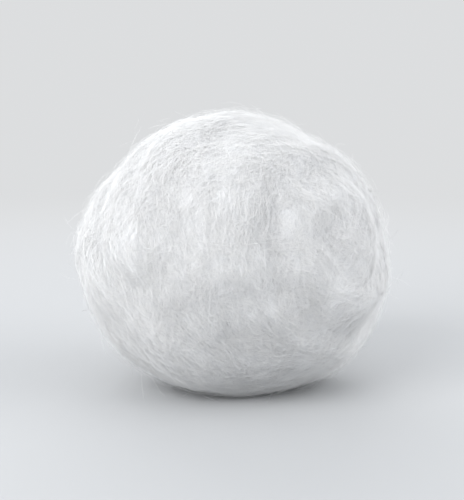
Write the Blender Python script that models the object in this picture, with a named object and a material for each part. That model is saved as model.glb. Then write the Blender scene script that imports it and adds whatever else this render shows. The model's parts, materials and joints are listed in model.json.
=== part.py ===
"""A cosmetic cotton ball: one soft piece, a strip of carded cotton rolled up and rubbed round.

Units are metres and +Z is up. The ball rests on the plane z = 0 with its lowest point at the origin.

How the real one is made gives the shape. A flat strip of carded cotton is rolled up on itself, and the
roll is rubbed between moving belts until it is a ball. The strip's two edges are gathered in at the roll's
two ends, so each end shows a spiral of soft turns, and the strip's tail lies as a tongue on the round side.
Its neighbours in the pack press broad flats into it, and its own weight presses the flat that it rests on.
"""

import math

import bmesh
import bpy
from mathutils import Matrix, Vector, noise

# The ball as it rests
BALL_WIDTH = 0.0330  # along X
BALL_DEPTH = 0.0310  # along Y
BALL_HEIGHT = 0.0290  # along Z, from the table to the top
REST_FLAT_WIDTH = 0.0110  # across the flat that it rests on

# The rolled strip
STRIP_THICKNESS = 0.0056  # from one turn to the next
ROLL_AZIMUTH = math.radians(-38)  # of the roll's axis, from +X towards +Y
ROLL_RISE = math.radians(16)  # of the roll's axis, above the table
TAIL_ANGLE = math.radians(205)  # how far round the axis the strip's tail ends

# The seams between the turns
SEAM_DEPTH = 0.0014
SEAM_INNER_SLOPE = 0.0026  # how far the seam's gentle side reaches, towards the end of the roll
SEAM_OUTER_SLOPE = 0.0012  # how far its steep side reaches, over the rim of the outer turn
SEAM_ROUNDING = 0.0012  # the radius in the bottom of the seam
SEAM_WANDER = 0.0008  # how far a seam strays from a true spiral
SEAM_WANDER_LENGTH = 0.0090  # from one bend of that straying to the next
SEAM_RUBBED = 0.5  # the share of its depth that rubbing has closed where it closed the most
SEAM_RUBBED_LENGTH = 0.0075  # from one such place to the next

# The two ends of the roll, where the strip's edges are drawn in, and the small folds that this gathers
END_DIMPLE_DEPTH = 0.0008
END_DIMPLE_REACH = 0.0065  # from the axis to where the dimple has mostly died away
GATHER_DEPTH = 0.0002
GATHER_COUNT = 6
GATHER_START = 0.0020  # from the axis to where the gathers begin
GATHER_END = 0.0115  # from the axis to where they have died away
GATHER_SWIRL = 1.0  # how far they turn with the roll on the way, in radians
GATHER_UNEVENNESS = 2.0  # how far a gather strays to the side, in radians of its wave
GATHER_UNEVEN_LENGTH = 0.0050

# The loose fibre
LUMP_HEIGHT = 0.0005
LUMP_LENGTH = 0.0120
TUFT_HEIGHT = 0.0002
TUFT_LENGTH = 0.0044
STRAND_HEIGHT = 0.0003  # of the ridges of drawn fibre that run round the roll
STRAND_WIDTH = 0.0027
STRAND_LENGTH = 0.0110
STRAND_START = 0.0075  # from the axis to where the ridges have their full height

# The broad flats that the neighbours in the pack pressed
NEIGHBOUR_COUNT = 7
NEIGHBOUR_TURN = math.radians(80)  # the azimuth of the first
FLAT_DEPTH = 0.0003
FLAT_BLEND = 0.0018  # how softly a flat runs out into the round

# The seeds that pick one ball from all those that the same rules give
LUMP_SEED = 23.3
TUFT_SEED = 23.8
STRAND_SEED = 24.1
SEAM_WANDER_SEED = 7.6
SEAM_RUBBED_SEED = 11.1
GATHER_SEED = 23.3

CAGE_DIVISIONS = 31  # squares along each of the twelve edges of the cage
COTTON_WHITE = (0.86, 0.865, 0.86, 1.0)
COTTON_ROUGHNESS = 0.95

MEAN_RADIUS = (BALL_WIDTH + BALL_DEPTH + BALL_HEIGHT) / 6
RISE = Vector((0, 0, 1))


def clear_scene():
    """Removes every object, and the collections that held them."""
    for item in list(bpy.data.objects):
        bpy.data.objects.remove(item, do_unlink=True)
    for collection in list(bpy.data.collections):
        bpy.data.collections.remove(collection)


def heading(azimuth, rise):
    """The unit vector at an azimuth from +X and a rise above the table, both in radians."""
    return Vector(
        (math.cos(azimuth) * math.cos(rise), math.sin(azimuth) * math.cos(rise), math.sin(rise))
    )


def roll_frame():
    """The roll's own axes: Z is the axis that the strip is rolled on, and X points at its tail."""
    axis = heading(ROLL_AZIMUTH, ROLL_RISE)
    side = RISE.cross(axis).normalized()
    upright = Matrix((side, axis.cross(side), axis)).transposed()
    return upright @ Matrix.Rotation(TAIL_ANGLE, 3, "Z")


def cotton_material():
    """Bleached cotton: white, and with no gloss at all."""
    material = bpy.data.materials.new("cotton")
    material.use_nodes = True
    shader = material.node_tree.nodes["Principled BSDF"]
    shader.inputs["Base Color"].default_value = COTTON_WHITE
    shader.inputs["Roughness"].default_value = COTTON_ROUGHNESS
    shader.inputs["Metallic"].default_value = 0.0
    material.diffuse_color = COTTON_WHITE
    return material


def round_cage():
    """A cube's grid of squares blown up to a unit sphere, with squares of nearly even size."""
    cage = bmesh.new()
    bmesh.ops.create_cube(cage, size=2.0)
    bmesh.ops.subdivide_edges(cage, edges=cage.edges[:], cuts=CAGE_DIVISIONS - 1, use_grid_fill=True)
    for vertex in cage.verts:
        evened = Vector(math.tan(share * math.pi / 4) for share in vertex.co)
        vertex.co = evened.normalized()
    return cage


def variation(place, seed):
    """A smooth random value about zero, which rises and falls once in about each unit of length."""
    return noise.noise(place + Vector((seed, seed, seed)))


def valley(away, slope):
    """How much of its full depth a seam has at a distance from its bottom, which is rounded."""
    return math.exp(-(math.hypot(away, SEAM_ROUNDING) - SEAM_ROUNDING) / slope)


def seam_depth(place):
    """How deep the seam between two turns lies at a place on the round roll.

    The strip's layers are an Archimedean spiral about the roll's axis. Trimmed to a ball, they meet its
    surface in a spiral at each end, and the two spirals close in a tongue at the tail.
    """
    reach = math.hypot(place.x, place.y)
    angle = math.atan2(place.y, place.x) % math.tau
    wander = SEAM_WANDER * variation(place / SEAM_WANDER_LENGTH, SEAM_WANDER_SEED)
    layer = (reach + wander - MEAN_RADIUS) / STRIP_THICKNESS - angle / math.tau
    past_seam = layer - math.floor(layer)
    layers_per_metre_down = abs(place.z) / MEAN_RADIUS / STRIP_THICKNESS
    layers_per_metre_round = 1 / (math.tau * max(reach, SEAM_ROUNDING))
    layers_per_metre = math.hypot(layers_per_metre_down, layers_per_metre_round)
    rim_side = valley(past_seam / layers_per_metre, SEAM_OUTER_SLOPE)
    inner_side = valley((1 - past_seam) / layers_per_metre, SEAM_INNER_SLOPE)
    closed = SEAM_RUBBED * (0.5 + variation(place / SEAM_RUBBED_LENGTH, SEAM_RUBBED_SEED))
    return SEAM_DEPTH * (1 - closed) * max(rim_side, inner_side)


def end_depth(place):
    """How deep the drawn-in ends of the roll lie, with the small folds that run in to them."""
    reach = math.hypot(place.x, place.y)
    dimple = END_DIMPLE_DEPTH * math.exp(-((reach / END_DIMPLE_REACH) ** 2))
    share = (reach - GATHER_START) / (GATHER_END - GATHER_START)
    if not 0 < share < 1:
        return dimple
    angle = math.atan2(place.y, place.x) + math.copysign(GATHER_SWIRL * share, place.z)
    uneven = GATHER_UNEVENNESS * variation(place / GATHER_UNEVEN_LENGTH, GATHER_SEED)
    fold = 0.5 + 0.5 * math.cos(GATHER_COUNT * angle + uneven)
    return dimple + GATHER_DEPTH * fold * math.sin(math.pi * share) ** 2


def fibre_height(place):
    """The lumps, tufts and strands of the loose fibre, above or below the ball's mean surface."""
    lump = variation(place / LUMP_LENGTH, LUMP_SEED)
    tuft = variation(place / TUFT_LENGTH, TUFT_SEED)
    reach = math.hypot(place.x, place.y)
    round_roll = Vector((place.x, place.y, 0)).normalized() * MEAN_RADIUS / STRAND_LENGTH
    down_roll = math.atan2(reach, place.z) * MEAN_RADIUS / STRAND_WIDTH
    strand = variation(round_roll + RISE * down_roll, STRAND_SEED) * min(1.0, reach / STRAND_START)
    return LUMP_HEIGHT * lump + TUFT_HEIGHT * tuft + STRAND_HEIGHT * strand


def neighbours():
    """The direction of each neighbour in the pack, spread evenly over the ball."""
    golden_angle = math.pi * (3 - math.sqrt(5))
    for i in range(NEIGHBOUR_COUNT):
        rise = math.asin(1 - (2 * i + 1) / NEIGHBOUR_COUNT)
        yield heading(NEIGHBOUR_TURN + i * golden_angle, rise)


def pressed_radius(direction):
    """The ball's radius at a direction, with the neighbours' flats blended into the round."""
    radius = MEAN_RADIUS
    for neighbour in neighbours():
        facing = direction.dot(neighbour)
        if facing <= 0:
            continue
        flat = (MEAN_RADIUS - FLAT_DEPTH) / facing
        nearness = max(0.0, 1 - abs(radius - flat) / FLAT_BLEND)
        radius = min(radius, flat) - nearness * nearness * FLAT_BLEND / 4
    return radius


def shape_ball(cage):
    """Moves each point of the round cage, which lies along the roll's axis, out to the ball's surface."""
    roll_axes = roll_frame()
    for vertex in cage.verts:
        place = vertex.co * MEAN_RADIUS
        direction = roll_axes @ vertex.co
        relief = fibre_height(place) - seam_depth(place) - end_depth(place)
        vertex.co = direction * (pressed_radius(direction) + relief)


def roll_to_width(cage):
    """Brings the ball to the width and depth that it was rolled to, with its middle over the origin."""
    for i, wanted in enumerate((BALL_WIDTH, BALL_DEPTH)):
        lowest = min(vertex.co[i] for vertex in cage.verts)
        highest = max(vertex.co[i] for vertex in cage.verts)
        for vertex in cage.verts:
            vertex.co[i] = wanted * ((vertex.co[i] - lowest) / (highest - lowest) - 0.5)


def table_level(cage):
    """The level up to which the table has to press the ball's underside to give its flat the width."""
    cage.normal_update()
    wanted = math.pi * REST_FLAT_WIDTH**2 / 4
    pressed = 0.0
    for face in sorted(cage.faces, key=lambda face: face.calc_center_median().z):
        pressed += face.calc_area() * abs(face.normal.z)
        if pressed >= wanted:
            return face.calc_center_median().z
    raise ValueError("The resting flat is wider than the ball")


def rest_on_table(cage):
    """Sets the ball on the table at its height, with its underside pressed flat."""
    level = table_level(cage)
    stretch = BALL_HEIGHT / (max(vertex.co.z for vertex in cage.verts) - level)
    for vertex in cage.verts:
        vertex.co.z = max(0.0, (vertex.co.z - level) * stretch)


def cotton_ball(collection):
    """The whole ball, one closed body."""
    cage = round_cage()
    shape_ball(cage)
    roll_to_width(cage)
    rest_on_table(cage)
    mesh = bpy.data.meshes.new("cotton_ball")
    cage.to_mesh(mesh)
    cage.free()
    mesh.materials.append(cotton_material())
    mesh.shade_smooth()
    ball = bpy.data.objects.new("cotton_ball", mesh)
    collection.objects.link(ball)
    return ball


def main():
    clear_scene()
    collection = bpy.data.collections.new("cotton_ball")
    bpy.context.scene.collection.children.link(collection)
    cotton_ball(collection)


main()
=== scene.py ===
"""The look of a cosmetic cotton ball: its rolled body, the fibres that lie on it and the stray ones round.

Units are metres, in the frame of the part. The body keeps the form of the part's solid, and the fibres are
laid along it the way the carded strip was rolled.
"""

import json
import math
import random

import bpy
import numpy as np
from bpy.props import FloatProperty, FloatVectorProperty, IntProperty, PointerProperty
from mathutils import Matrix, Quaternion, Vector, noise
from mathutils.bvhtree import BVHTree

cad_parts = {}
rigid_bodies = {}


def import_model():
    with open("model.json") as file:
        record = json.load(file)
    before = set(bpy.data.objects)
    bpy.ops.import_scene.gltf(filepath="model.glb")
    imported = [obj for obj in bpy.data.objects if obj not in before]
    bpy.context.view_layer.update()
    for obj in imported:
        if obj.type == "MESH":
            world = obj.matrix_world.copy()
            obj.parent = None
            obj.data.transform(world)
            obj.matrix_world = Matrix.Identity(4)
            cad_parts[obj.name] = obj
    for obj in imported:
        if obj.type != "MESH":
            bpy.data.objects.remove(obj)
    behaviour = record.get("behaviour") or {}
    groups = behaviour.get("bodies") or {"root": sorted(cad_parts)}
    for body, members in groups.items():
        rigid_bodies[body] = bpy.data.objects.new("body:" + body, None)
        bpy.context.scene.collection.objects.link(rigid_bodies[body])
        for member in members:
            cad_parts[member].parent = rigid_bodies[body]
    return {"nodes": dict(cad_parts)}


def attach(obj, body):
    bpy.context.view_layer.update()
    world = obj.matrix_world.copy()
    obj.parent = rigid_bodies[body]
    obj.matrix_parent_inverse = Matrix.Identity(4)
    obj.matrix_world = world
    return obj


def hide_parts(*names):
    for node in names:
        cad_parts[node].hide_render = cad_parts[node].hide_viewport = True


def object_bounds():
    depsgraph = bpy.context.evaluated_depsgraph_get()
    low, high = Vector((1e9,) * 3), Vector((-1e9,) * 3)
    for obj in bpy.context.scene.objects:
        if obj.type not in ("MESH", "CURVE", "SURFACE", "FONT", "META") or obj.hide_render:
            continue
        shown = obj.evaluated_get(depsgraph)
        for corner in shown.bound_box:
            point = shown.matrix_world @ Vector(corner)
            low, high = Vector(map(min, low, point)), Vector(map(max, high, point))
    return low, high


bl_info = {
    "name": "Cotton Ball",
    "version": (1, 0, 0),
    "blender": (4, 5, 0),
    "location": "3D View > Sidebar > Cotton Ball",
    "description": "Builds a soft cotton ball from loose fibre, on a plain stage",
    "category": "Object",
}

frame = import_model()
solid = frame["nodes"]["cotton_ball"]
solid_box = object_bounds()

BODY = "root"
MIDDLE = (Vector(solid_box[0]) + Vector(solid_box[1])) / 2
MEAN_RADIUS = sum(Vector(solid_box[1]) - Vector(solid_box[0])) / 6  # mean of the three half widths

# The roll that the ball was rubbed from, as in the part
ROLL_AZIMUTH = math.radians(-38)
ROLL_RISE = math.radians(16)

# One fibre, which is a thin closed tube
SIDES = 3
STATIONS = 6  # along it, with its two tips
UV_NAME = "OFBake"  # the map of the surface, with a square for each fibre
MAP_MARGIN = 0.1  # round a fibre's square of the map

# How fibre takes the light
LIGHT_SPREAD = 0.1  # share of the ball's mean round form in the shading of its surface
LEAST_SPREAD = 0.01  # share of the surface's form that is always added to a fibre's own
LYING_ROUNDNESS = 0.15  # share of a lying fibre's own round form in its shading
STRAY_ROUNDNESS = 0.3

# Where the fibres are
TABLE_GAP = 0.00003  # from the table to the middle of the lowest fibre
TUCK_DEPTH = 0.0001  # of a lying fibre's ends, under the body's surface
ROOT_DEPTH = 0.0002  # of a stray fibre's root, under the body's surface
ARCH_FLATNESS = 0.4  # of a lying fibre: 1 rises like a bow, and less rises quickly and then runs level
LAYER_SPIN = 0.7  # about Z from the places of one layer to those of the next, in radians
STRAY_SPIN = 0.3  # about Z of the stray fibres' places, in radians
WISP_SHIFT = 0.001  # spread of the wisps round their even places
STRAY_SHIFT = 0.0005
LYING_SEED = 100  # of the first layer, and one more for each after it
STRAY_SEED = 7

# How far fibres turn off the roll's way round, in radians
PATCH_SWIRL = 1.8  # of all the fibres in one patch
PATCH_START = Vector((3, 8, 5))  # where in the noise the patches start
CROSSING_TURN = 1.5  # of a wisp that lies across the rest

# What a tight wisp has, and what a loose one adds to it
WISP_TURN = (0.55, 0.25)  # spread of its direction, in radians
CROSSING_SHARE = (0.12, 0.3)  # of wisps that lie across the rest
MOST_LIFT = (0.0004, 0.0006)  # off the body
WISP_BEND = (0.2, 0.1)  # spread of its bend, in radians at a station
BEND_CHANGE = (0.14, 0.12)  # spread of the change in its bend from one station to the next
FIBRE_TURN = (0.16, 0.1)  # spread of its fibres' directions
WIDTH_SHARE = (1.0, -0.4)  # of a fibre's width

# A single fibre in its wisp
LEAST_LIFT = 0.00018  # of its wisp off the body
LIFT_RANGE = (0.4, 1.3)  # shares of the wisp's lift
LENGTH_RANGE = (0.6, 1.4)  # shares of the mean length
START_SHIFT = 0.0012  # spread of its start along the wisp
FIBRE_CURL = 0.06  # spread of its own bend, in radians at a station
WIDTH_RANGE = (0.6, 1.3)  # shares of the lying width

# A stray fibre
STRAY_RISE = (0.1, 0.8)  # off the surface, in radians
STRAY_TWIST = 0.7  # spread of the side that it bends to, in radians
STRAY_BEND = (0.15, 0.6)  # radians at a station, back towards the ball
STRAY_WANDER = 0.22  # spread, in radians at a station, to either side
STRAY_LENGTHS = (0.17, 0.25, 0.35, 0.5, 0.75)  # shares of the mean length
STRAY_LENGTH_RANGE = (0.85, 1.15)
STRAY_WIDTH_RANGE = (0.7, 1.2)

# The fine ridges of the body
MERGE_DISTANCE = 1e-6  # between points of the solid that are one
FINER_RIDGE_HEIGHT = 0.5  # of the finer ridges, as a share of the main ones
FINER_RIDGE_COUNT = 2.3  # finer ridges to a main one

# Finishes
BODY_MOTTLE = 420  # cells of noise in a metre
FIBRE_MOTTLE = 700
RELIEF_STRAND_LENGTH = 0.006
RELIEF_STRAND_WIDTH = 0.0011
RELIEF_SCALE = 3.2  # cells of noise in one strand
RELIEF_HEIGHT = 0.0003
LIGHT_DEPTH = 0.0012  # how far light sinks into packed cotton

# The stage
FLOOR_RADIUS = 4
FADE = (0.035, 0.16)  # from the floor's middle to where its fade into the backdrop starts and ends
DAYLIGHT = (0.93, 0.96, 1.0)
DAYLIGHT_LEVEL = 0.84
LAMPS = {
    # name: place, size, power
    "key_lamp": ((-0.18, -0.21, 0.16), 0.24, 0.78),
    "fill_lamp": ((0.26, -0.06, 0.12), 0.26, 0.42),
    "back_lamp": ((-0.04, 0.27, 0.12), 0.26, 0.54),
}
CAMERA_LENS = 100
CAMERA_RISE = math.radians(10)
CAMERA_DISTANCE = 0.148


class BodySettings(bpy.types.PropertyGroup):
    """The rolled body under the fibres."""

    inset: FloatProperty(
        name="Inset",
        description="How far the body lies inside the solid, to leave room for the fibres",
        default=0.0003,
        unit="LENGTH",
        precision=5,
    )
    strand_height: FloatProperty(
        name="Strand Height",
        description="Height of the fine ridges of drawn fibre",
        default=0.00006,
        unit="LENGTH",
        precision=5,
    )
    strand_width: FloatProperty(
        name="Strand Width",
        description="From one fine ridge to the next",
        default=0.0009,
        unit="LENGTH",
        precision=5,
    )
    strand_length: FloatProperty(
        name="Strand Length",
        description="How far a fine ridge runs round the roll",
        default=0.006,
        unit="LENGTH",
        precision=4,
    )


class FibreSettings(bpy.types.PropertyGroup):
    """The fibres that lie on the ball and stand out from it."""

    layers: IntProperty(
        name="Layers",
        description="Pieces that the lying fibres are split into, each looser than the one before",
        default=4,
    )
    wisps: IntProperty(
        name="Wisps per Layer",
        description="Wisps of fibre in one piece",
        default=590,
    )
    wisp_fibres: IntProperty(
        name="Fibres per Wisp",
        description="Fibres that run together in a wisp",
        default=13,
    )
    wisp_spread: FloatProperty(
        name="Wisp Spread",
        description="How far a wisp's fibres lie to its sides",
        default=0.00036,
        unit="LENGTH",
        precision=5,
    )
    stray_count: IntProperty(
        name="Stray Fibres",
        description="Fibres that stand out from the ball",
        default=7800,
    )
    lying_width: FloatProperty(
        name="Lying Width",
        description="Thickness of a lying fibre",
        default=0.000023,
        unit="LENGTH",
        precision=6,
    )
    stray_width: FloatProperty(
        name="Stray Width",
        description="Thickness of a stray fibre",
        default=0.000018,
        unit="LENGTH",
        precision=6,
    )
    length: FloatProperty(
        name="Length",
        description="Mean length of a lying fibre, and the measure of the stray ones",
        default=0.0068,
        unit="LENGTH",
        precision=4,
    )
    patch: FloatProperty(
        name="Patch",
        description="How far the fibres keep one direction before they swirl into another",
        default=0.007,
        unit="LENGTH",
        precision=4,
    )


class ColourSettings(bpy.types.PropertyGroup):
    """The whites of the cotton and of the stage."""

    white: FloatVectorProperty(
        name="Cotton White",
        description="The fibre where it is clean and open",
        subtype="COLOR",
        default=(0.95, 0.95, 0.945),
    )
    shade: FloatVectorProperty(
        name="Cotton Shade",
        description="The fibre where it is a little duller",
        subtype="COLOR",
        default=(0.89, 0.895, 0.9),
    )
    # Painted shade: the body's colour is darker than the fibres' white, standing in for the shade that the
    # loose fibre over it casts
    packed_in_shade: FloatVectorProperty(
        name="Packed Cotton",
        description="The body under the loose fibre",
        subtype="COLOR",
        default=(0.77, 0.775, 0.78),
    )
    floor: FloatVectorProperty(
        name="Floor",
        description="The floor and the backdrop",
        subtype="COLOR",
        default=(0.72, 0.73, 0.74),
    )
    light_level: FloatProperty(
        name="Light Level",
        description="Light that falls on the floor, by which its colour is divided to match the backdrop",
        default=1.42,
    )


def deselect_all():
    """Leaves nothing selected and nothing active."""
    for item in bpy.context.view_layer.objects:
        item.select_set(False)
    bpy.context.view_layer.objects.active = None


def roll_axis():
    """The axis that the strip was rolled on."""
    return Vector(
        (
            math.cos(ROLL_AZIMUTH) * math.cos(ROLL_RISE),
            math.sin(ROLL_AZIMUTH) * math.cos(ROLL_RISE),
            math.sin(ROLL_RISE),
        )
    )


def strip_place(point, strand_length, strand_width):
    """A point's place on the rolled strip: slow round the roll and quick along it, with no seam."""
    axis = roll_axis()
    out = Vector(point) - MIDDLE
    along = out.dot(axis)
    across = out - axis * along
    radius = out.length
    slow = across.normalized() * radius / strand_length
    return slow + axis * (math.atan2(across.length, along) * radius / strand_width)


def new_material(name):
    """A material with its nodes, its links and its Principled shader."""
    material = bpy.data.materials.new(name)
    material.use_nodes = True
    tree = material.node_tree
    return material, tree.nodes, tree.links, tree.nodes["Principled BSDF"]


def direct_view(nodes, links):
    """One where the camera looks, also in a mirror or through glass, and zero for the light on the ball."""
    rays = nodes.new("ShaderNodeLightPath")
    mirrored = nodes.new("ShaderNodeMath")
    mirrored.operation = "MAXIMUM"
    through = nodes.new("ShaderNodeMath")
    through.operation = "MAXIMUM"
    links.new(rays.outputs["Is Camera Ray"], mirrored.inputs[0])
    links.new(rays.outputs["Is Glossy Ray"], mirrored.inputs[1])
    links.new(mirrored.outputs["Value"], through.inputs[0])
    links.new(rays.outputs["Is Transmission Ray"], through.inputs[1])
    return through.outputs["Value"]


def mottled(nodes, links, scale, detail, dark, light):
    """A colour that drifts from dark to light, each given with the level of noise that it is reached at."""
    place = nodes.new("ShaderNodeTexCoord")
    mottle = nodes.new("ShaderNodeTexNoise")
    mottle.inputs["Scale"].default_value = scale
    mottle.inputs["Detail"].default_value = detail
    ramp = nodes.new("ShaderNodeValToRGB")
    for stop, (colour, level) in zip(ramp.color_ramp.elements, (dark, light)):
        stop.position = level
        stop.color = (*colour, 1)
    links.new(place.outputs["Object"], mottle.inputs["Vector"])
    links.new(mottle.outputs["Fac"], ramp.inputs["Fac"])
    return ramp.outputs["Color"]


def matt(shader):
    """Sets the shader to loose cotton: no gloss, and the faint sheen of fine fibre."""
    shader.inputs["Roughness"].default_value = 0.95
    shader.inputs["Specular IOR Level"].default_value = 0.1
    shader.inputs["Sheen Weight"].default_value = 0.25
    shader.inputs["Sheen Roughness"].default_value = 0.6


def body_material(colours):
    """Packed cotton: mottled white, darker than the fibres as painted shade from the loose fibre over it,
    with fine fibre in relief, and light that sinks a little way in.
    """
    material, nodes, links, shader = new_material("packed_cotton_in_shade")
    # Painted shade: the mottle runs from the body's darkened white up to the fibres' duller white
    colour = mottled(nodes, links, BODY_MOTTLE, 4, (colours.packed_in_shade, 0.3), (colours.shade, 0.9))
    links.new(colour, shader.inputs["Base Color"])
    strip = nodes.new("ShaderNodeAttribute")
    strip.attribute_name = "strip_place"
    strands = nodes.new("ShaderNodeTexNoise")
    strands.inputs["Scale"].default_value = RELIEF_SCALE
    strands.inputs["Detail"].default_value = 5
    strands.inputs["Roughness"].default_value = 0.62
    bump = nodes.new("ShaderNodeBump")
    bump.inputs["Strength"].default_value = 0.55
    bump.inputs["Distance"].default_value = RELIEF_HEIGHT
    links.new(strip.outputs["Vector"], strands.inputs["Vector"])
    links.new(strands.outputs["Fac"], bump.inputs["Height"])
    links.new(bump.outputs["Normal"], shader.inputs["Normal"])
    matt(shader)
    shader.inputs["Subsurface Weight"].default_value = 0.5
    shader.inputs["Subsurface Radius"].default_value = (1.0, 1.0, 1.0)
    shader.inputs["Subsurface Scale"].default_value = LIGHT_DEPTH
    return material


def fibre_material(colours):
    """Loose cotton fibre: white, with a little of the shade here and there along it. Made once for all."""
    made = bpy.data.materials.get("loose_cotton")
    if made is not None:
        return made
    material, nodes, links, shader = new_material("loose_cotton")
    colour = mottled(nodes, links, FIBRE_MOTTLE, 3, (colours.shade, 0.28), (colours.white, 0.55))
    links.new(colour, shader.inputs["Base Color"])
    matt(shader)
    return material


def ride_with_ball(piece):
    """The piece is parented to the ball's body, so that it moves with the ball."""
    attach(piece, BODY)


def body_surface():
    """The outside of the body, for the fibres to be laid on."""
    body = bpy.data.objects.get("cotton_body")
    if body is None:
        raise RuntimeError("The body has to be made before its fibres")
    corners = [vertex.co.copy() for vertex in body.data.vertices]
    return BVHTree.FromPolygons(corners, [tuple(face.vertices) for face in body.data.polygons])


def even_places(count, spin, shift, draw):
    """Places near the ball's surface: spread evenly, turned about Z by the spin, then shifted at random."""
    golden_angle = math.pi * (3 - math.sqrt(5))
    for i in range(count):
        z = 1 - (2 * i + 1) / count
        ring = math.sqrt(1 - z * z)
        turn = i * golden_angle + spin
        direction = Vector((ring * math.cos(turn), ring * math.sin(turn), z))
        yield MIDDLE + direction * MEAN_RADIUS + Vector([draw.gauss(0, shift) for _ in range(3)])


def loosened(amount, looseness):
    """The amount for a wisp that is this loose, from what a tight one has and what a loose one adds."""
    tight, added = amount
    return tight + added * looseness


def strip_heading(place, normal, patch, looseness, draw):
    """The way that a fibre runs at a place.

    It runs round the roll, swirled from patch to patch, and more at random where it is loose.
    """
    heading = roll_axis().cross(place - MIDDLE)
    heading -= normal * heading.dot(normal)
    heading.normalize()
    swirl = PATCH_SWIRL * noise.noise(place / patch + PATCH_START)
    swirl += draw.gauss(0, loosened(WISP_TURN, looseness))
    if draw.random() < loosened(CROSSING_SHARE, looseness):
        swirl += draw.uniform(-CROSSING_TURN, CROSSING_TURN)
    heading.rotate(Quaternion(normal, swirl))
    return heading * draw.choice((-1, 1))


def lying_path(surface, start, heading, length, lift, curls):
    """The path of a fibre that lies on the ball with both ends tucked under, and the normals along it."""
    path = []
    normals = []
    place = start
    for station, curl in enumerate(curls):
        place, normal, _, _ = surface.find_nearest(place)
        arch = math.sin(math.pi * station / (STATIONS - 1)) ** ARCH_FLATNESS
        path.append(place + normal * (lift * arch - TUCK_DEPTH * (1 - arch)))
        normals.append(normal.copy())
        heading = (heading - normal * heading.dot(normal)).normalized()
        heading.rotate(Quaternion(normal, curl))
        place = place + heading * (length / (STATIONS - 1))
    return path, normals


def wisp_paths(surface, middle, settings, looseness, draw):
    """The paths of the fibres of one wisp, which run nearly together, and the normals along each."""
    middle, normal, _, _ = surface.find_nearest(middle)
    heading = strip_heading(middle, normal, settings.patch, looseness, draw)
    side = normal.cross(heading)
    lift = draw.uniform(LEAST_LIFT, loosened(MOST_LIFT, looseness**2))
    bends = [draw.gauss(0, loosened(WISP_BEND, looseness))]
    for _ in range(STATIONS - 1):
        bends.append(bends[-1] + draw.gauss(0, loosened(BEND_CHANGE, looseness)))
    for _ in range(settings.wisp_fibres):
        length = settings.length * draw.uniform(*LENGTH_RANGE)
        back = length / 2 + draw.gauss(0, START_SHIFT)
        start = middle - heading * back + side * draw.gauss(0, settings.wisp_spread)
        own_heading = heading + side * draw.gauss(0, loosened(FIBRE_TURN, looseness))
        curls = [bend + draw.gauss(0, FIBRE_CURL) for bend in bends]
        own_lift = lift * draw.uniform(*LIFT_RANGE)
        yield lying_path(surface, start, own_heading, length, own_lift, curls)


def stray_path(surface, start, length, patch, draw):
    """The path of a fibre that leaves the ball and curls back towards it, and the normals along it."""
    place, normal, _, _ = surface.find_nearest(start)
    heading = strip_heading(place, normal, patch, 1, draw)
    rise = draw.uniform(*STRAY_RISE)
    heading = heading * math.cos(rise) + normal * math.sin(rise)
    bend_about = heading.cross(normal).normalized()
    bend_about.rotate(Quaternion(heading, draw.gauss(0, STRAY_TWIST)))
    bend = -draw.uniform(*STRAY_BEND)
    place = place - normal * ROOT_DEPTH
    path = []
    for _ in range(STATIONS):
        path.append(place.copy())
        heading.rotate(Quaternion(bend_about, bend))
        heading.rotate(Quaternion(normal, draw.gauss(0, STRAY_WANDER)))
        place = place + heading * (length / (STATIONS - 1))
    return path, [normal.copy()] * STATIONS


def one_fibre():
    """A straight fibre of unit radius and length: a ring pulled up at each station, closed at its tips."""
    step = 1 / (STATIONS - 1)
    deselect_all()
    bpy.ops.mesh.primitive_circle_add(vertices=SIDES, radius=1, fill_type="NOTHING")
    fibre = bpy.context.object
    bpy.ops.object.mode_set(mode="EDIT")
    bpy.ops.mesh.select_all(action="SELECT")
    for _ in range(STATIONS - 1):
        bpy.ops.mesh.extrude_region_move(TRANSFORM_OT_translate={"value": (0, 0, step)})
    bpy.ops.mesh.merge(type="CENTER")
    bpy.ops.object.mode_set(mode="OBJECT")
    for vertex in fibre.data.vertices:
        vertex.select = vertex.co.z < step / 2
    bpy.ops.object.mode_set(mode="EDIT")
    bpy.ops.mesh.merge(type="CENTER")
    bpy.ops.mesh.select_all(action="SELECT")
    bpy.ops.mesh.normals_make_consistent(inside=False)
    bpy.ops.object.mode_set(mode="OBJECT")
    return fibre


def unrolled(mesh):
    """Each face corner's place when the straight fibre is slit on one side and laid on a unit square."""
    places = []
    for face in mesh.polygons:
        facing = math.atan2(face.center.y, face.center.x)
        for corner in face.vertices:
            point = mesh.vertices[corner].co
            turn = 0.0
            at_tip = math.hypot(point.x, point.y) < 0.5
            if not at_tip:
                turn = (math.atan2(point.y, point.x) - facing + math.pi) % math.tau - math.pi
            places.append((point.z, (facing % math.tau + turn) / math.tau))
    return np.array(places)


def fibre_map(mesh, fibre, count):
    """Gives each copy of the fibre a square of its own on the mesh's map."""
    squares = math.ceil(math.sqrt(count))
    corner = np.stack((np.arange(count) % squares, np.arange(count) // squares), axis=1)
    places = (corner[:, None] + MAP_MARGIN + (1 - 2 * MAP_MARGIN) * unrolled(fibre)) / squares
    layer = mesh.uv_layers.new(name=UV_NAME, do_init=False)
    layer.uv.foreach_set("vector", places.astype(np.float32).ravel())


def unit(vectors):
    """The vectors in an array, each brought to a length of one."""
    return vectors / np.linalg.norm(vectors, axis=-1, keepdims=True)


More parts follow.
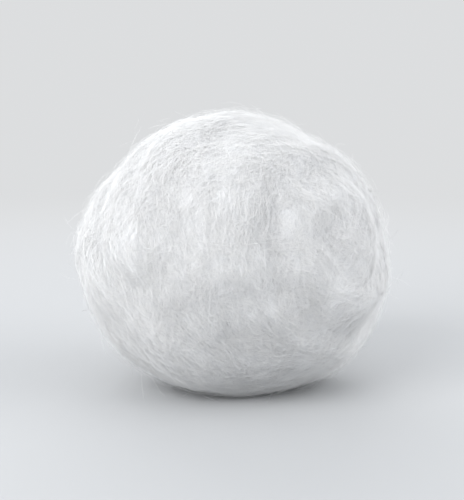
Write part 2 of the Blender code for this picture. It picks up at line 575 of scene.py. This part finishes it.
def lay_fibres(name, paths, normals, radii, roundness):
    """Copies one fibre along every path and joins the copies in one piece.

    The roundness is the share of a fibre's own form in its shading. The rest is that of the ball, because
    light spreads through loose fibre.
    """
    fibre = one_fibre()
    shape = np.array([vertex.co for vertex in fibre.data.vertices])
    stations = np.rint(shape[:, 2] * (STATIONS - 1)).astype(int)
    paths = np.array(paths)
    paths[:, :, 2] = np.maximum(paths[:, :, 2], TABLE_GAP)
    normals = np.array(normals)
    along = unit(np.gradient(paths, axis=1))
    side = unit(np.cross(normals, along))
    up = np.cross(along, side)
    out = shape[:, :1] * side[:, stations] + shape[:, 1:2] * up[:, stations]
    points = paths[:, stations] + np.array(radii)[:, None, None] * out
    spread = unit((1 - LIGHT_SPREAD) * normals + LIGHT_SPREAD * unit(paths - np.array(MIDDLE)))
    shading = unit(roundness * out + (1 + LEAST_SPREAD - roundness) * spread[:, stations])
    one = [tuple(face.vertices) for face in fibre.data.polygons]
    faces = [[i * len(shape) + corner for corner in face] for i in range(len(paths)) for face in one]
    mesh = bpy.data.meshes.new(name)
    mesh.from_pydata(points.reshape(-1, 3).tolist(), [], faces)
    fibre_map(mesh, fibre.data, len(paths))
    mesh.shade_smooth()
    mesh.normals_split_custom_set_from_vertices(shading.reshape(-1, 3).tolist())
    bpy.data.objects.remove(fibre)
    piece = bpy.data.objects.new(name, mesh)
    bpy.context.scene.collection.objects.link(piece)
    return piece


class COTTONBALL_OT_body(bpy.types.Operator):
    """Makes the rolled body from the part's solid, with the fine ridges of drawn fibre"""

    bl_idname = "cotton_ball.body"
    bl_label = "Rolled Body"

    def execute(self, context):
        settings = context.scene.cotton_body
        deselect_all()
        body = bpy.data.objects.new("cotton_body", solid.data.copy())
        context.scene.collection.objects.link(body)
        body.select_set(True)
        context.view_layer.objects.active = body
        bpy.ops.object.mode_set(mode="EDIT")
        bpy.ops.mesh.select_all(action="SELECT")
        bpy.ops.mesh.remove_doubles(threshold=MERGE_DISTANCE)
        bpy.ops.mesh.normals_make_consistent(inside=False)
        bpy.ops.object.mode_set(mode="OBJECT")
        finer = body.modifiers.new("Finer", "SUBSURF")
        finer.levels = 1
        finer.render_levels = 1
        bpy.ops.object.modifier_apply(modifier=finer.name)
        self.add_strands(body, settings)
        self.keep_strip_place(body)
        body.data.shade_smooth()
        body.data.materials.clear()
        body.data.materials.append(body_material(context.scene.cotton_colours))
        ride_with_ball(body)
        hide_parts("cotton_ball")
        return {"FINISHED"}

    def add_strands(self, body, settings):
        """Moves the body's points in by the inset and out by the fine ridges, but not through the table."""
        normals = [normal.vector.copy() for normal in body.data.vertex_normals]
        for vertex, normal in zip(body.data.vertices, normals):
            place = strip_place(vertex.co, settings.strand_length, settings.strand_width)
            ridge = noise.noise(place) + FINER_RIDGE_HEIGHT * noise.noise(place * FINER_RIDGE_COUNT)
            vertex.co += normal * (settings.strand_height * ridge - settings.inset)
            vertex.co.z = max(vertex.co.z, 0.0)

    def keep_strip_place(self, body):
        """Keeps each point's place on the strip with the mesh, for the material's relief to read."""
        strand = (RELIEF_STRAND_LENGTH, RELIEF_STRAND_WIDTH)
        places = [strip_place(vertex.co, *strand) for vertex in body.data.vertices]
        kept = body.data.attributes.new("strip_place", "FLOAT_VECTOR", "POINT")
        kept.data.foreach_set("vector", np.array(places, np.float32).ravel())


class COTTONBALL_OT_lying_fibres(bpy.types.Operator):
    """Lays the fibres on the body, round the roll and swirled from patch to patch"""

    bl_idname = "cotton_ball.lying_fibres"
    bl_label = "Lying Fibres"

    def execute(self, context):
        settings = context.scene.cotton_fibres
        surface = body_surface()
        material = fibre_material(context.scene.cotton_colours)
        for layer in range(settings.layers):
            looseness = layer / max(settings.layers - 1, 1)
            width_share = loosened(WIDTH_SHARE, looseness**2)
            draw = random.Random(LYING_SEED + layer)
            paths, normals, radii = [], [], []
            for place in even_places(settings.wisps, layer * LAYER_SPIN, WISP_SHIFT, draw):
                for path, path_normals in wisp_paths(surface, place, settings, looseness, draw):
                    paths.append(path)
                    normals.append(path_normals)
                    radii.append(settings.lying_width / 2 * draw.uniform(*WIDTH_RANGE) * width_share)
            piece = lay_fibres(f"lying_fibres_{layer + 1}", paths, normals, radii, LYING_ROUNDNESS)
            piece.data.materials.append(material)
            ride_with_ball(piece)
        return {"FINISHED"}


class COTTONBALL_OT_stray_fibres(bpy.types.Operator):
    """Sets the stray fibres round the ball, which give it its soft edge"""

    bl_idname = "cotton_ball.stray_fibres"
    bl_label = "Stray Fibres"

    def execute(self, context):
        settings = context.scene.cotton_fibres
        surface = body_surface()
        material = fibre_material(context.scene.cotton_colours)
        draw = random.Random(STRAY_SEED)
        paths, normals, radii = [], [], []
        for place in even_places(settings.stray_count, STRAY_SPIN, STRAY_SHIFT, draw):
            length = settings.length * draw.choice(STRAY_LENGTHS) * draw.uniform(*STRAY_LENGTH_RANGE)
            path, path_normals = stray_path(surface, place, length, settings.patch, draw)
            paths.append(path)
            normals.append(path_normals)
            radii.append(settings.stray_width / 2 * draw.uniform(*STRAY_WIDTH_RANGE))
        piece = lay_fibres("stray_fibres", paths, normals, radii, STRAY_ROUNDNESS)
        piece.data.materials.append(material)
        ride_with_ball(piece)
        return {"FINISHED"}


class COTTONBALL_OT_stage(bpy.types.Operator):
    """Sets the plain floor, the soft lamps and the camera"""

    bl_idname = "cotton_ball.stage"
    bl_label = "Stage"

    def execute(self, context):
        scene = context.scene
        colour = scene.cotton_colours.floor
        self.floor(colour, scene.cotton_colours.light_level)
        self.surroundings(scene, colour)
        for name, (place, size, power) in LAMPS.items():
            self.lamp(scene, name, place, size, power)
        self.camera(scene)
        scene.view_settings.view_transform = "Standard"
        return {"FINISHED"}

    def floor(self, colour, light_level):
        """A wide floor that fades into the backdrop's colour, so that no horizon shows."""
        deselect_all()
        bpy.ops.mesh.primitive_circle_add(vertices=96, radius=FLOOR_RADIUS, fill_type="NGON")
        floor = bpy.context.object
        floor.name = "floor"
        material, nodes, links, shader = new_material("floor")
        shader.inputs["Base Color"].default_value = (*(part / light_level for part in colour), 1)
        shader.inputs["Roughness"].default_value = 0.9
        shader.inputs["Specular IOR Level"].default_value = 0.1
        place = nodes.new("ShaderNodeTexCoord")
        distance = nodes.new("ShaderNodeVectorMath")
        distance.operation = "LENGTH"
        fade = nodes.new("ShaderNodeMapRange")
        fade.interpolation_type = "SMOOTHSTEP"
        fade.inputs["From Min"].default_value = FADE[0]
        fade.inputs["From Max"].default_value = FADE[1]
        glow = nodes.new("ShaderNodeEmission")
        glow.inputs["Color"].default_value = (*colour, 1)
        seen = nodes.new("ShaderNodeMath")
        seen.operation = "MULTIPLY"
        mix = nodes.new("ShaderNodeMixShader")
        links.new(place.outputs["Object"], distance.inputs[0])
        links.new(distance.outputs["Value"], fade.inputs["Value"])
        links.new(fade.outputs["Result"], seen.inputs[0])
        links.new(direct_view(nodes, links), seen.inputs[1])
        links.new(seen.outputs["Value"], mix.inputs["Fac"])
        links.new(shader.outputs["BSDF"], mix.inputs[1])
        links.new(glow.outputs["Emission"], mix.inputs[2])
        links.new(mix.outputs["Shader"], nodes["Material Output"].inputs["Surface"])
        floor.data.materials.append(material)

    def surroundings(self, scene, colour):
        """Soft light from all round, behind a plain backdrop."""
        world = bpy.data.worlds.new("surroundings")
        scene.world = world
        world.use_nodes = True
        nodes, links = world.node_tree.nodes, world.node_tree.links
        light = nodes["Background"]
        light.inputs["Color"].default_value = (*DAYLIGHT, 1)
        light.inputs["Strength"].default_value = DAYLIGHT_LEVEL
        backdrop = nodes.new("ShaderNodeBackground")
        backdrop.inputs["Color"].default_value = (*colour, 1)
        backdrop.inputs["Strength"].default_value = 1.0
        mix = nodes.new("ShaderNodeMixShader")
        links.new(direct_view(nodes, links), mix.inputs["Fac"])
        links.new(light.outputs["Background"], mix.inputs[1])
        links.new(backdrop.outputs["Background"], mix.inputs[2])
        links.new(mix.outputs["Shader"], nodes["World Output"].inputs["Surface"])

    def lamp(self, scene, name, place, size, power):
        """A soft square lamp that faces the ball."""
        light = bpy.data.lights.new(name, "AREA")
        light.size = size
        light.energy = power
        lamp = bpy.data.objects.new(name, light)
        lamp.location = place
        lamp.rotation_euler = (MIDDLE - Vector(place)).to_track_quat("-Z", "Y").to_euler()
        scene.collection.objects.link(lamp)

    def camera(self, scene):
        """A camera in front of the ball and a little above it."""
        camera = bpy.data.objects.new("camera", bpy.data.cameras.new("camera"))
        camera.data.lens = CAMERA_LENS
        camera.data.clip_start = 0.01
        back = Vector((0, -math.cos(CAMERA_RISE), math.sin(CAMERA_RISE)))
        camera.location = MIDDLE + back * CAMERA_DISTANCE
        camera.rotation_euler = (-back).to_track_quat("-Z", "Y").to_euler()
        scene.collection.objects.link(camera)
        scene.camera = camera


class COTTONBALL_PT_panel(bpy.types.Panel):
    """Lists the ball's sizes, its colours and its pieces"""

    bl_idname = "COTTONBALL_PT_panel"
    bl_label = "Cotton Ball"
    bl_space_type = "VIEW_3D"
    bl_region_type = "UI"
    bl_category = "Cotton Ball"

    def draw(self, context):
        layout = self.layout
        scene = context.scene
        for group in (scene.cotton_body, scene.cotton_fibres, scene.cotton_colours):
            column = layout.column(align=True)
            for name in group.bl_rna.properties.keys():
                if name not in ("rna_type", "name"):
                    column.prop(group, name)
        for operator in OPERATORS:
            layout.operator(operator.bl_idname)


GROUPS = (BodySettings, FibreSettings, ColourSettings)
OPERATORS = (
    COTTONBALL_OT_body,
    COTTONBALL_OT_lying_fibres,
    COTTONBALL_OT_stray_fibres,
    COTTONBALL_OT_stage,
)


def register():
    """Adds the classes, and the settings to the scene."""
    for item in (*GROUPS, *OPERATORS, COTTONBALL_PT_panel):
        bpy.utils.register_class(item)
    bpy.types.Scene.cotton_body = PointerProperty(type=BodySettings)
    bpy.types.Scene.cotton_fibres = PointerProperty(type=FibreSettings)
    bpy.types.Scene.cotton_colours = PointerProperty(type=ColourSettings)


def unregister():
    """Takes the settings from the scene, and the classes away."""
    del bpy.types.Scene.cotton_colours
    del bpy.types.Scene.cotton_fibres
    del bpy.types.Scene.cotton_body
    for item in reversed((*GROUPS, *OPERATORS, COTTONBALL_PT_panel)):
        bpy.utils.unregister_class(item)


def main():
    """Makes the ball's pieces in order and sets the stage."""
    register()
    bpy.ops.cotton_ball.body()
    bpy.ops.cotton_ball.lying_fibres()
    bpy.ops.cotton_ball.stray_fibres()
    bpy.ops.cotton_ball.stage()


if __name__ == "__main__":
    main()
